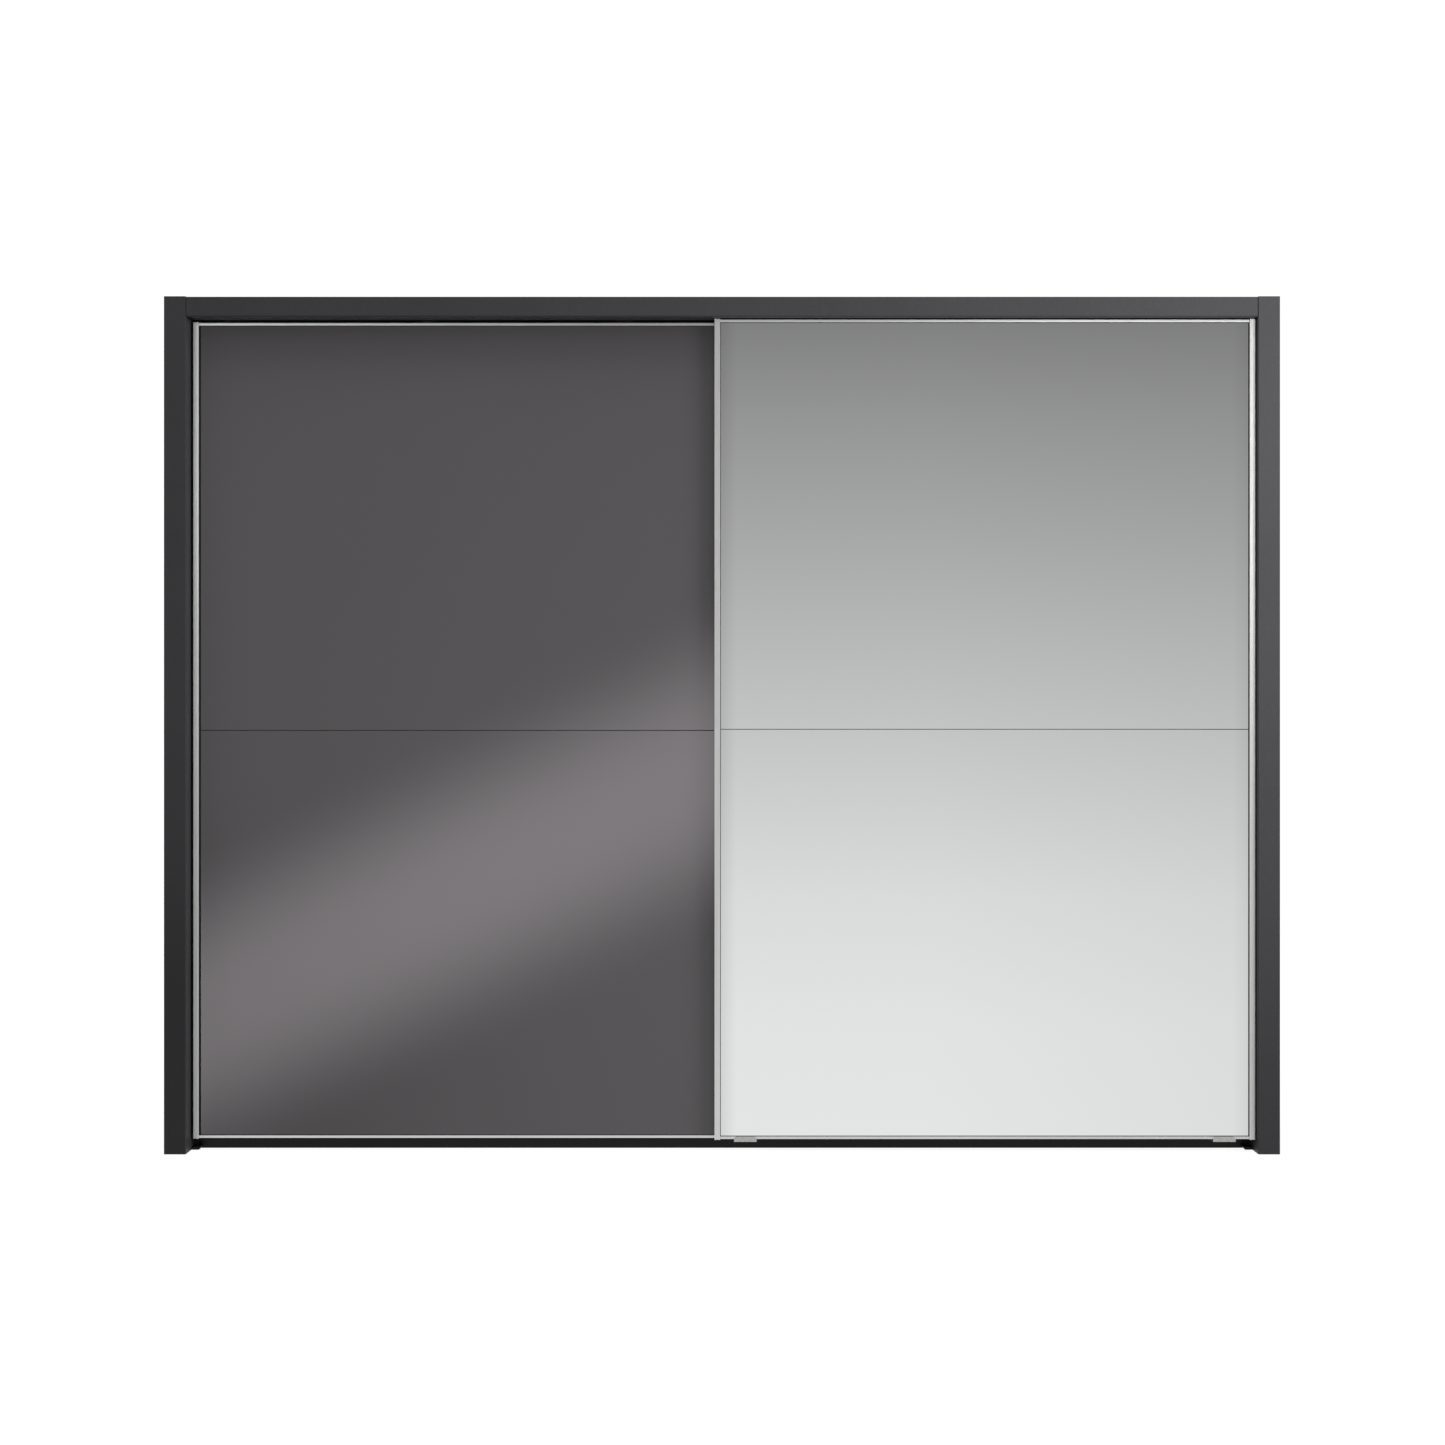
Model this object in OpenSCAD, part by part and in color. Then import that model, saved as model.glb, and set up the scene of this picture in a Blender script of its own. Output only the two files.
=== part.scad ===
// Sliding door wardrobe: a two-compartment board carcass inside a surrounding frame, with two glazed
// sliding doors that hang from a double running rail and are steered by a guide rail on the floor.
// Millimetres. +Z is up, +X is to the right of a person facing the doors, and the doors face -Y.
// The origin is at floor level, in the middle of the width and of the depth.

/* [Wardrobe] */
// Width over the surrounding frame
overall_w = 2810; // [2410:10:2910]
// Height over the surrounding frame
overall_h = 2160; // [2060:10:2260]
// Depth from the frame's front to the carcass's rear edge
overall_d = 680; // [640:10:720]

/* [Surrounding frame] */
// Width of a side board of the frame, as seen from the front
frame_w = 55; // [45:1:65]
// Depth of the frame's boards
frame_d = 190; // [180:1:220]
// Thickness of the boards that a hollow side is folded from
frame_t = 16; // [12:1:18]
// How far the frame's top board sits below the tops of its sides
frame_step = 1; // [0:0.5:4]

/* [Carcass] */
// Thickness of the carcass boards
board_t = 19; // [16:1:22]
// Height of the plinth
plinth_h = 60; // [56:1:90]
// Thickness of the back sheets
back_t = 3; // [2.5:0.5:4]
// Thickness of the hat shelves
shelf_t = 22; // [16:1:25]
// Distance from the top panel down to the hat shelf
shelf_drop = 321; // [250:1:450]

/* [Doors] */
// How far the closed doors overlap in the middle
door_overlap = 42; // [36:1:60]
// Distance between the two tracks
track_pitch = 30; // [30:0.5:38]
// Width of a handle stile
stile_w = 14.5; // [14.5:0.5:20]
// Thickness of the glass panes
pane_t = 4; // [3:0.5:4]
// Radius of a running wheel
wheel_r = 10; // [8:0.5:10.5]
// Radius of a guide roller
roller_r = 4.5; // [4:0.1:4.6]

/* [Hidden] */
$fn = 48;
eps = 0.01;

// Colours
graphite = [0.21, 0.21, 0.23];
silver = [0.76, 0.77, 0.77];
grey_glass = [0.34, 0.32, 0.34];
mirror_grey = [0.80, 0.82, 0.83];
black_plastic = [0.10, 0.10, 0.11];
zinc = [0.58, 0.58, 0.57];
nylon = [0.90, 0.89, 0.85];
pale_board = [0.62, 0.60, 0.57];

// The planes that the rest is built from
case_setback = 90;                           // carcass behind the frame's front
case_drop = 60;                              // top of the carcass below the top of the frame
front_y = -overall_d / 2;
back_y = overall_d / 2;
case_x = overall_w / 2 - frame_w;            // outer face of a carcass side
inner_x = case_x - board_t;                  // inner face of a carcass side
part_x = board_t / 2;                        // face of the centre partition
case_front_y = front_y + case_setback;
case_top_z = overall_h - case_drop;
ceiling_z = case_top_z - board_t;            // underside of the top panels
floor_z = plinth_h + board_t;                // upper face of the bottom panels
glide_h = 2;
edge_r = 2;                                  // rounding of the frame's long edges

// Screws
screw_r = 2;
screw_head_r = 4.5;
screw_head_h = 2;
screw_slack = 0.15;                          // radial room of a screw in its hole
recess_l = 5.2;                              // cross recess in a screw's head
recess_w = 1.1;
recess_d = 1.2;
panel_screw_l = 15;
leg_screw_l = board_t + 20;
door_screw_l = 11;
screw_end_gap = 0.5;                         // room below a screw's tip in its hole

// Frame top
fascia_h = 50.5;
fascia_t = 19;
fascia_lip_r = 5;                            // rounding of the fascia's lower front edge
fascia_gap = 1.5;                            // joint between the top board and each side
frame_top_z = overall_h - frame_step;
cover_z = frame_top_z - fascia_t;            // underside of the frame's cover board
frame_rear_y = front_y + frame_d;

// Back sheets run in grooves
back_sheet_y = back_y - 18;
groove_deep = 6;
sheet_mid_x = (inner_x + part_x) / 2;        // middle of a compartment
sheet_gap = 2;                               // between two sheets, for the joint strip's web
strip_t = 1.5;
strip_w = 24;
rear_plinth_gap = 6;

// Doors
side_gap = 2;                                // between the frame and a door at the end of its track
rear_gap = 6;                                // the same for the closed left door, in the rear track
door_w = (2 * case_x - side_gap - rear_gap + door_overlap) / 2;
door_h = overall_h - 85;
door_d = 26;
front_door = [case_x - side_gap - door_w, front_y + 21, 32.5];
rear_door = [-case_x + rear_gap, front_door[1] + track_pitch, front_door[2] - 3];
pane_y = 9;                                  // front of the panes behind the front of the stiles
pane_edge = 12;                              // edge of the panes from the door's side edge
board_back_y = pane_y + 12;                  // back of the backing boards
rail_profile_y = 4;
rail_profile_h = 6.5;
rail_profile_wall = 1.5;
profile_end = 1.5;                           // the stiles pass the horizontal profiles by this much
profile_floor = 3.5;                         // from a profile's outer edge to the pane's edge
pane_gap = 1.6;                              // between the upper and the lower pane
left_gasket_w = 3.5;
right_gasket_w = 1.5;
gasket_h = 1;
gasket_t = 1;
ridge_w = 3.75;                              // each ridge of a handle stile
finger_d = 2.5;                              // finger groove between the ridges

// Running rail
hanger_y = 24;                               // middle of the hanger plates, from the stiles' front
rail_z = overall_h - 51;
rail_h = 28;
rail_wall = 2;
rail_lip_t = 3;
channel_half = 12;
rail_slot_half = 4.5;
rail_half_l = case_x - 2;
wheel_room = 0.3;                            // between a wheel and the rail, and beside it on its axle
wheel_z = rail_z + rail_lip_t + wheel_r + wheel_room;
wheel_in = 2.2;                              // wheel faces, from the middle of the hanger plate
wheel_out = 9.5;
axle_r = 2.5;
bore_slack = 0.05;
channel_ys = [front_door[1] + hanger_y, rear_door[1] + hanger_y];

// Hangers
hanger_inset = 110;
hanger_w = 70;
hanger_h = 63;
hanger_drop = 12;                            // top of the hanger's foot below the top of the stiles
hanger_t = 3;
hanger_back_y = hanger_y + hanger_t / 2;
neck_w = 30;
neck_lap = 10;                               // of the neck with the foot
neck_past_axle = 7;
axle_head_r = 4;
axle_head_t = 1.4;
hanger_screw_x = 22;
hanger_screw_z = door_h - hanger_drop - hanger_h / 2;
slot_l = 20;
stop_gap = 1;
stop_l = 40;

// Guide rail and guides
guide_rail_y = case_front_y - 6;
guide_rail_d = 34;
guide_rail_top = 24;
groove_half = 5;
groove_floor = 9;
front_groove_y = guide_rail_y + 7;
rear_groove_y = guide_rail_y + 23;
guide_inset = 78;
guide_w = 57;
guide_flange_w = 46;                         // width of the guide's flange at its upper edge
guide_t = 1.5;
guide_flange_t = 1.5;
guide_past_pin = 6;
guide_plate_z = guide_rail_top + 3;
rear_arm_z = 31;
rear_guide_h = 26;
rear_guide_screw_h = 17;
pin_r = 2;
pin_foot_z = 12;
pin_foot_t = 1.5;
roller_z = 14;
roller_h = 10;
plinth_front_y = guide_rail_y + guide_rail_d;
plinth_t = 16;

// Fittings inside the carcass
shelf_top_z = ceiling_z - shelf_drop;
shelf_setback = 50;
shelf_rear_gap = 4;
shelf_side_gap = 1;
shelf_pin_r = 2.5;
shelf_pin_hole = 9;
shelf_pin_out = 9;
shelf_pin_ys = [case_front_y + 100, back_y - 70];
tube_h = 30;
tube_w = 15;
tube_wall = 1.2;
tube_y = 40;
tube_z = shelf_top_z - shelf_t - 45;
tube_room = 0.4;                             // of the tube in its socket, across
socket_wall = 2;
socket_plate_t = 3;
socket_plate_w = 30;
socket_plate_h = 60;
socket_l = 15;
socket_screw_z = 22;
socket_screw_l = socket_plate_t + 6;
bracket_xs = [for (i = [-2.5 : 2.5]) i * round(overall_w / 5.62)];
bracket_w = 40;
bracket_t = 2;
bracket_foot = 60;
bracket_arm = 58;
bracket_screw_x = 10;
bracket_screw_y = 40;
cam_r = 7.4;
cam_hole_r = 7.5;
cam_h = 12;
cam_gap = 0.5;                               // below a cam in its hole
cam_inset = 34;
cam_ys = [case_front_y + 70, back_y - 60];
frame_screw_zs = [200, overall_h / 2, overall_h - 200];
frame_screw_y = frame_rear_y - 50;
frame_screw_l = board_t + 12;
batten_w = 24;
leg_screw_xs = [-1000, -300, 300, 1000];
wall_bracket_x = 1050;
wall_bracket_w = 80;
wall_bracket_h = 50;
wall_bracket_t = 2;
wall_hole_x = 20;
wall_hole_z = 32;
wall_hole_r = 2.75;
wall_screw_y = back_y - 30;

// ---- shared shapes ----

// A box given by its lowest and highest corners
module block(lo, hi) {
    translate(lo) cube(hi - lo);
}

// A cylinder from one point along an axis: "x", "y" or "z"
module rod(at, axis, length, r) {
    turn = axis == "x" ? [0, 90, 0] : axis == "y" ? [-90, 0, 0] : [0, 0, 0];
    translate(at) rotate(turn) cylinder(h = length, r = r);
}

// A slot or flat tube outline: a rectangle with fully round ends along Y
module stadium(w, h) {
    square([w, h - w], center = true);
    for (s = [-1, 1]) translate([0, s * (h - w) / 2]) circle(d = w);
}

// A cross recessed screw whose head stands on z = 0 and whose shank goes down
module screw(length) {
    difference() {
        cylinder(h = screw_head_h, r = screw_head_r);
        for (size = [[recess_l, recess_w], [recess_w, recess_l]])
            translate([0, 0, screw_head_h]) cube([size[0], size[1], 2 * recess_d], center = true);
    }
    translate([0, 0, -length]) cylinder(h = length + eps, r = screw_r);
}

module screw_hole(length) {
    translate([0, 0, -length - 1]) cylinder(h = length + 2, r = screw_r + screw_slack);
}

module both_sides() {
    children();
    mirror([1, 0, 0]) children();
}

// ---- surrounding frame ----

// A hollow side: a board folded round three sides, open to the rear
module frame_side() {
    difference() {
        translate([case_x, front_y, 0]) linear_extrude(overall_h) difference() {
            union() {
                translate([0, edge_r]) square([frame_w, frame_d - edge_r]);
                translate([edge_r, 0]) square([frame_w - 2 * edge_r, edge_r + eps]);
                for (x = [edge_r, frame_w - edge_r]) translate([x, edge_r]) circle(r = edge_r);
            }
            translate([frame_t, frame_t]) square([frame_w - 2 * frame_t, frame_d]);
        }
        frame_side_screws() screw_hole(frame_screw_l);
    }
}

module frame_side_left() {
    color(graphite) mirror([1, 0, 0]) frame_side();
}

module frame_side_right() {
    color(graphite) frame_side();
}

// Top board of the frame: fascia, cover and rear leg in one folded piece
module frame_top() {
    color(graphite) difference() {
        translate([fascia_gap - case_x, 0, 0]) rotate([90, 0, 90])
            linear_extrude(2 * (case_x - fascia_gap)) frame_top_outline();
        leg_screws() screw_hole(leg_screw_l);
    }
}

module frame_top_outline() {
    lip_z = frame_top_z - fascia_h;
    translate([front_y, lip_z + fascia_lip_r])
        square([fascia_t, fascia_h - fascia_lip_r - edge_r]);
    translate([front_y + fascia_lip_r, lip_z + fascia_lip_r]) circle(r = fascia_lip_r);
    translate([front_y + fascia_lip_r, lip_z]) square([fascia_t - fascia_lip_r, fascia_lip_r + eps]);
    translate([front_y + edge_r, frame_top_z - edge_r]) circle(r = edge_r);
    translate([front_y + edge_r, cover_z]) square([frame_d - edge_r, fascia_t]);
    translate([frame_rear_y - frame_t, case_top_z]) square([frame_t, cover_z - case_top_z + eps]);
}

// Battens that close the hollow sides at the rear, at the top and at the bottom
module frame_battens() {
    x0 = case_x + frame_t;
    x1 = case_x + frame_w - frame_t;
    y0 = front_y + frame_t;
    y1 = frame_rear_y - batten_w;
    color(pale_board) both_sides() {
        block([x0, y1, 0], [x1, frame_rear_y, overall_h]);
        block([x0, y0, 0], [x1, y1, batten_w]);
        block([x0, y0, overall_h - batten_w], [x1, y1, overall_h]);
    }
}

// ---- carcass ----

module carcass_side() {
    difference() {
        block([inner_x, case_front_y, glide_h], [case_x, back_y, case_top_z]);
        block([inner_x - 1, back_sheet_y, floor_z - groove_deep],
              [inner_x + groove_deep, back_sheet_y + back_t, ceiling_z + groove_deep]);
        frame_side_screws() screw_hole(frame_screw_l);
        shelf_pin_places() cylinder(h = 2 * shelf_pin_hole, r = shelf_pin_r + screw_slack, center = true);
        socket_screws(inner_x, -1) screw_hole(socket_screw_l);
    }
}

module carcass_side_left() {
    color(graphite) mirror([1, 0, 0]) carcass_side();
}

module carcass_side_right() {
    color(graphite) carcass_side();
}

// The middle wall, cut away at the lower front for the guide rail and the rear door's guides
module centre_partition() {
    color(graphite) difference() {
        block([-part_x, case_front_y, glide_h], [part_x, back_y, ceiling_z]);
        block([-part_x - 1, case_front_y - 1, 0], [part_x + 1, plinth_front_y, plinth_h]);
        both_sides() {
            block([part_x - groove_deep, back_sheet_y, floor_z - groove_deep],
                  [part_x + 1, back_sheet_y + back_t, ceiling_z + 1]);
            for (y = shelf_pin_ys) rod([part_x - shelf_pin_hole, y, pin_z()], "x", 2 * shelf_pin_hole,
                                       shelf_pin_r + screw_slack);
            socket_screws(part_x, 1) screw_hole(socket_screw_l);
        }
    }
}

module top_panel() {
    color(graphite) difference() {
        block([0, case_front_y, ceiling_z], [inner_x, back_y, case_top_z]);
        block([part_x - groove_deep, back_sheet_y, ceiling_z - 1],
              [inner_x + 1, back_sheet_y + back_t, ceiling_z + groove_deep]);
        for (y = cam_ys)
            rod([inner_x - cam_inset, y, case_top_z - cam_h - cam_gap], "z", cam_h + 1, cam_hole_r);
        bracket_screws() screw_hole(board_t);
        wall_bracket_screws() screw_hole(board_t);
        leg_screws() screw_hole(leg_screw_l);
    }
}

module top_panel_left() {
    mirror([1, 0, 0]) top_panel();
}

module top_panel_right() {
    top_panel();
}

module bottom_panel() {
    color(graphite) difference() {
        block([part_x, case_front_y, plinth_h], [inner_x, back_y, floor_z]);
        block([part_x - 1, back_sheet_y, floor_z - groove_deep],
              [inner_x + 1, back_sheet_y + back_t, floor_z + 1]);
        for (x = [part_x + cam_inset, inner_x - cam_inset], y = cam_ys)
            rod([x, y, plinth_h - 1 + cam_gap], "z", cam_h + 1, cam_hole_r);
    }
}

module bottom_panel_left() {
    mirror([1, 0, 0]) bottom_panel();
}

module bottom_panel_right() {
    bottom_panel();
}

module plinth_boards() {
    color(graphite) both_sides() {
        for (y = [plinth_front_y, back_sheet_y - rear_plinth_gap - plinth_t])
            block([part_x, y, glide_h], [inner_x, y + plinth_t, plinth_h]);
    }
}

// Two back sheets in each compartment, with a gap for the joint strip's web
module back_panels() {
    sheet_w = sheet_mid_x - sheet_gap / 2 - part_x + groove_deep;
    color(graphite) both_sides() for (x = [part_x - groove_deep, sheet_mid_x + sheet_gap / 2])
        block([x, back_sheet_y, floor_z - groove_deep],
              [x + sheet_w, back_sheet_y + back_t, ceiling_z + groove_deep]);
}

module back_joint_strips() {
    color(black_plastic) both_sides() translate([sheet_mid_x, back_sheet_y + back_t / 2, floor_z])
        linear_extrude(ceiling_z - floor_z) {
            square([sheet_gap, back_t + eps], center = true);
            for (s = [-1, 1]) translate([0, s * (back_t + strip_t) / 2])
                square([strip_w, strip_t], center = true);
        }
}

// ---- inside ----

function pin_z() = shelf_top_z - shelf_t - shelf_pin_r;

module shelf() {
    color(graphite)
        block([part_x + shelf_side_gap, case_front_y + shelf_setback, shelf_top_z - shelf_t],
              [inner_x - shelf_side_gap, back_sheet_y - shelf_rear_gap, shelf_top_z]);
}

module shelf_left() {
    mirror([1, 0, 0]) shelf();
}

module shelf_right() {
    shelf();
}

module shelf_pin_places() {
    for (y = shelf_pin_ys) translate([inner_x, y, pin_z()]) rotate([0, 90, 0]) children();
}

module shelf_pins() {
    l = shelf_pin_out + shelf_pin_hole - screw_end_gap;
    color(zinc) both_sides()
        for (y = shelf_pin_ys, x = [inner_x - shelf_pin_out, part_x + shelf_pin_out - l])
            rod([x, y, pin_z()], "x", l, shelf_pin_r);
}

module at_tube(x) {
    translate([x, tube_y, tube_z]) rotate([90, 0, 90]) children();
}

module clothes_rails() {
    color(silver) both_sides() at_tube(part_x + socket_plate_t)
        linear_extrude(inner_x - part_x - 2 * socket_plate_t) difference() {
            stadium(tube_w, tube_h);
            stadium(tube_w - 2 * tube_wall, tube_h - 2 * tube_wall);
        }
}

// One end socket: a plate and a collar round the tube, on the face x = 0, pointing to +X
module socket() {
    collar = tube_room + 2 * socket_wall;
    linear_extrude(socket_plate_t) difference() {
        stadium(socket_plate_w, socket_plate_h);
        for (s = [-1, 1]) translate([0, s * socket_screw_z]) circle(r = screw_r + screw_slack);
    }
    linear_extrude(socket_l) difference() {
        stadium(tube_w + collar, tube_h + collar);
        stadium(tube_w + tube_room, tube_h + tube_room);
    }
}

module clothes_rail_sockets() {
    color(silver) both_sides() {
        at_tube(part_x) socket();
        at_tube(inner_x) mirror([0, 0, 1]) socket();
    }
}

module socket_screws(x, facing) {
    for (s = [-1, 1]) translate([x + facing * socket_plate_t, tube_y, tube_z + s * socket_screw_z])
        rotate([0, facing * 90, 0]) children();
}

// ---- running gear on the carcass ----

// Double channel that both doors hang in: each channel is slotted below for the hanger plates
module running_rail() {
    color(silver) translate([-rail_half_l, 0, 0]) rotate([90, 0, 90])
        linear_extrude(2 * rail_half_l) running_rail_outline();
}

module running_rail_outline() {
    half = channel_half + rail_wall;
    difference() {
        translate([channel_ys[0] - half, rail_z]) square([track_pitch + 2 * half, rail_h]);
        for (y = channel_ys) {
            translate([y - channel_half, rail_z + rail_lip_t])
                square([2 * channel_half, rail_h - 2 * rail_lip_t]);
            translate([y - rail_slot_half, rail_z - 1]) square([2 * rail_slot_half, rail_lip_t + 2]);
        }
    }
}

// Steel brackets that stand on the carcass and hold the rail from above
module rail_brackets() {
    y0 = channel_ys[1] + channel_half + rail_wall;
    y1 = y0 + bracket_t;
    z0 = rail_z + rail_h;
    z1 = z0 + bracket_t;
    color(zinc) difference() {
        for (x = bracket_xs) translate([x - bracket_w / 2, 0, 0]) {
            block([0, y0, case_top_z], [bracket_w, y0 + bracket_foot, case_top_z + bracket_t]);
            block([0, y0, case_top_z], [bracket_w, y1, z1]);
            block([0, y0 - bracket_arm, z0], [bracket_w, y1, z1]);
        }
        both_sides() bracket_screws() screw_hole(board_t);
    }
}

module bracket_screws() {
    y = channel_ys[1] + channel_half + rail_wall + bracket_screw_y;
    for (x = [for (b = bracket_xs) if (b > 0) b], s = [-1, 1])
        translate([x + s * bracket_screw_x, y, case_top_z + bracket_t]) children();
}

// A stop in each channel at each end, just past the place where the hanger's neck comes to rest
module rail_end_stops() {
    color(black_plastic) {
        for (y = channel_ys) end_stop(y, side_gap);
        mirror([1, 0, 0]) {
            end_stop(channel_ys[0], side_gap);
            end_stop(channel_ys[1], rear_gap);
        }
    }
}

module end_stop(y, door_gap) {
    x = case_x - door_gap - hanger_inset + neck_w / 2 + stop_gap;
    difference() {
        block([x, y - channel_half + 1, rail_z + rail_lip_t],
              [x + stop_l, y + channel_half - 1, rail_z + rail_h - rail_lip_t - 1]);
        rod([x + stop_l / 2, y, rail_z + rail_lip_t + 6], "z", rail_h, 3);
    }
}

// Floor rail with one groove for each door
module guide_rail() {
    color(black_plastic) translate([-inner_x, 0, 0]) rotate([90, 0, 90]) linear_extrude(2 * inner_x)
        difference() {
            translate([guide_rail_y, 0]) square([guide_rail_d, guide_rail_top]);
            for (y = [front_groove_y, rear_groove_y])
                translate([y - groove_half, groove_floor]) square([2 * groove_half, guide_rail_top]);
        }
}

// Plastic glides under the upright boards. A toe in front of each side closes the guide rail's end.
module floor_glides() {
    l = 30;
    centre_glide_y = plinth_front_y + plinth_t + 4;
    rear_glide_y = back_y - l - 20;
    color(black_plastic) {
        for (y = [centre_glide_y, rear_glide_y]) {
            both_sides() side_foot(y, l, glide_h, 2);
            translate([-part_x, y, 0]) cube([board_t, l, glide_h]);
        }
        both_sides() toe();
    }
}

// A foot below a carcass side, bevelled towards the middle
module side_foot(y, l, h, bevel) {
    lip_t = 1;
    translate([inner_x, y + l, 0]) rotate([90, 0, 0]) linear_extrude(l)
        polygon([[0, 0], [board_t, 0], [board_t, h], [-bevel, h], [-bevel, h - lip_t]]);
}

module toe() {
    toe_l = 25;
    toe_h = 8;
    side_foot(guide_rail_y - toe_l, toe_l, toe_h, 6);
    block([inner_x, guide_rail_y - eps, 0], [case_x, case_front_y, toe_h]);
}

module cam_fittings() {
    cross_w = 2;
    color(zinc) both_sides() for (y = cam_ys) {
        cam([inner_x - cam_inset, y, case_top_z - cam_h], true, cross_w);
        for (x = [part_x + cam_inset, inner_x - cam_inset]) cam([x, y, plinth_h], false, cross_w);
    }
}

// A round eccentric cam with a screwdriver slot in the face that shows
module cam(at, slot_on_top, slot_w) {
    slot_z = slot_on_top ? cam_h - 2 : -1;
    translate(at) difference() {
        cylinder(h = cam_h, r = cam_r);
        translate([0, 0, slot_z + 1.5]) cube([slot_w, cam_r * 1.4, 3], center = true);
    }
}

// Angle brackets that tie the top of the carcass to a wall
module wall_brackets() {
    color(zinc) both_sides() difference() {
        translate([wall_bracket_x - wall_bracket_w / 2, 0, case_top_z]) {
            block([0, back_y - wall_bracket_h, 0], [wall_bracket_w, back_y, wall_bracket_t]);
            block([0, back_y - wall_bracket_t, 0], [wall_bracket_w, back_y, wall_bracket_h]);
        }
        for (s = [-1, 1])
            rod([wall_bracket_x + s * wall_hole_x, back_y - 2 * wall_bracket_t, case_top_z + wall_hole_z],
                "y", 3 * wall_bracket_t, wall_hole_r);
        wall_bracket_screws() screw_hole(board_t);
    }
}

module wall_bracket_screws() {
    for (s = [-1, 1])
        translate([wall_bracket_x + s * wall_hole_x, wall_screw_y, case_top_z + wall_bracket_t]) children();
}

// Screws from inside the carcass into the frame's sides
module frame_side_screws() {
    for (z = frame_screw_zs) translate([inner_x, frame_screw_y, z]) rotate([0, -90, 0]) children();
}

// Screws from below the top panels into the frame top's rear leg
module leg_screws() {
    for (x = leg_screw_xs)
        translate([x, frame_rear_y - frame_t / 2, ceiling_z]) rotate([180, 0, 0]) children();
}

module fixing_screws() {
    color(zinc) {
        leg_screws() screw(leg_screw_l - screw_end_gap);
        both_sides() {
            frame_side_screws() screw(frame_screw_l);
            bracket_screws() screw(panel_screw_l);
            wall_bracket_screws() screw(panel_screw_l);
            socket_screws(inner_x, -1) screw(socket_screw_l - screw_end_gap);
            socket_screws(part_x, 1) screw(socket_screw_l - screw_end_gap);
        }
    }
}

// ---- doors ----
// Door parts are drawn with the door's lower left front corner at the origin.

module at_left_door() {
    translate(rear_door) children();
}

module at_right_door() {
    translate(front_door) children();
}

// The same thing at the door's other side edge
module far_edge() {
    translate([door_w, 0, 0]) mirror([1, 0, 0]) children();
}

// The upright handle profile: two ridges with a finger groove, a pane slot, and a hollow chamber
module stile() {
    finger_w = stile_w - 2 * ridge_w;
    round_r = 1;
    chamber_wall = 2;
    color(silver) linear_extrude(door_h) difference() {
        union() {
            translate([0, round_r]) square([stile_w, door_d - round_r]);
            translate([round_r, 0]) square([stile_w - 2 * round_r, door_d]);
            for (x = [round_r, stile_w - round_r]) translate([x, round_r]) circle(r = round_r);
        }
        translate([ridge_w, -1]) square([finger_w, finger_d + 1]);
        translate([pane_edge, pane_y]) square([stile_w, board_back_y - pane_y]);
        translate([chamber_wall, finger_d + chamber_wall])
            square([pane_edge - 2 * chamber_wall, door_d - finger_d - 2 * chamber_wall]);
    }
}

// A horizontal profile that runs between the stiles, lying with its open side up
module bottom_profile() {
    depth = board_back_y + rail_profile_wall - rail_profile_y;
    color(silver) translate([stile_w, 0, profile_end]) rotate([90, 0, 90])
        linear_extrude(door_w - 2 * stile_w) difference() {
            translate([rail_profile_y, 0]) square([depth, rail_profile_h]);
            translate([pane_y, profile_floor]) square([board_back_y - pane_y, rail_profile_h]);
        }
}

module top_profile() {
    translate([0, 0, door_h]) mirror([0, 0, 1]) bottom_profile();
}

// The strip between the two panes: a thin web in front and a flange on the back of the boards
module mid_profile() {
    flange_h = 20;
    web_front = 2;
    color(black_plastic) translate([stile_w, 0, door_h / 2]) rotate([90, 0, 90])
        linear_extrude(door_w - 2 * stile_w) {
            translate([pane_y + web_front, -pane_gap / 2])
                square([board_back_y - pane_y - web_front + eps, pane_gap]);
            translate([board_back_y, -flange_h / 2]) square([rail_profile_wall, flange_h]);
        }
}

// A sheet that fills the slots of the frame, in the lower or the upper half of the door
module sheet(y, thickness, upper) {
    edge = profile_end + profile_floor;
    z0 = upper ? (door_h + pane_gap) / 2 : edge;
    z1 = upper ? door_h - edge : (door_h - pane_gap) / 2;
    block([pane_edge, y, z0], [door_w - pane_edge, y + thickness, z1]);
}

module pane(upper, tint) {
    color(tint) sheet(pane_y, pane_t, upper);
}

module backing_boards(guide_on_back) {
    color(graphite) difference() {
        for (upper = [false, true]) sheet(pane_y + pane_t, board_back_y - pane_y - pane_t, upper);
        hanger_screws() screw_hole(door_screw_l);
        if (guide_on_back) back_guide_screws() screw_hole(door_screw_l);
    }
}

// Dark seals on the panes, inside the stiles and the horizontal profiles
module gaskets(w) {
    inner = profile_end + rail_profile_h;
    color(black_plastic) {
        for (x = [stile_w, door_w - stile_w - w])
            block([x, pane_y - gasket_t, inner], [x + w, pane_y, door_h - inner]);
        for (z = [inner, door_h - inner - gasket_h])
            block([stile_w + w, pane_y - gasket_t, z], [door_w - stile_w - w, pane_y, z + gasket_h]);
    }
}

module at_hangers() {
    for (x = [hanger_inset, door_w - hanger_inset]) translate([x, 0, 0]) children();
}

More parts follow.
